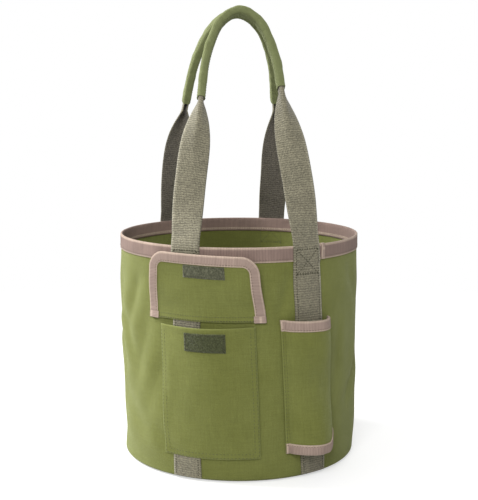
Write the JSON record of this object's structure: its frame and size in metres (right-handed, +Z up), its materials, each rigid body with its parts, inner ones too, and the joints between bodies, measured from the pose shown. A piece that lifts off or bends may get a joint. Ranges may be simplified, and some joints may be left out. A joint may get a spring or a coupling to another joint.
{
  "type": "round tool tote bag",
  "caption": "Round open-topped canvas tool bag with webbing handles, a flap pocket and an open-ended tool sleeve on its wall.",
  "frame": {"origin": "centre of the base's underside", "axes": "+Z up through the open mouth, -Y towards the pocket side, +X towards the tool sleeve"},
  "size_m": [0.3208, 0.3303, 0.5988],
  "materials": {
    "canvas": "matt woven green canvas",
    "binding_tape": "fine ribbed taupe binding tape",
    "webbing": "coarse ribbed olive-grey webbing",
    "hook_and_loop": "dark green napped hook-and-loop tape",
    "base_lining": "smooth dark grey coated cloth"
  },
  "bodies": {
    "bag": {"side_wall": "canvas", "base_panel": "canvas", "base_lining": "base_lining", "rim_binding": "binding_tape", "base_seam_binding": "binding_tape", "side_seam_binding": "binding_tape", "front_left_strap": "webbing", "front_right_strap": "webbing", "rear_left_strap": "webbing", "rear_right_strap": "webbing", "front_pocket": "canvas", "pocket_loop_patch": "hook_and_loop", "tool_sleeve": "canvas", "sleeve_top_binding": "binding_tape", "sleeve_bottom_binding": "binding_tape", "flap_hem": "canvas"},
    "front_handle": {"front_handle_webbing": "webbing", "front_handle_grip_sleeve": "canvas"},
    "rear_handle": {"rear_handle_webbing": "webbing", "rear_handle_grip_sleeve": "canvas"},
    "pocket_flap": {"flap_panel": "canvas", "flap_binding": "binding_tape", "flap_hook_patch": "hook_and_loop"}
  },
  "joints": [
    {"name": "front_handle_swing", "type": "hinge", "parent": "bag", "child": "front_handle", "pos_m": [0, -0.1545, 0.303], "axis": [1, 0, 0], "range_deg": [0, 178]},
    {"name": "rear_handle_swing", "type": "hinge", "parent": "bag", "child": "rear_handle", "pos_m": [-0.01883, 0.15335, 0.303], "axis": [-0.9925, -0.1219, 0], "range_deg": [0, 178]},
    {"name": "flap_hinge", "type": "hinge", "parent": "bag", "child": "pocket_flap", "pos_m": [-0.05606, -0.15572, 0.222], "axis": [0.9409, -0.3387, 0], "range_deg": [0, 163]}
  ]
}
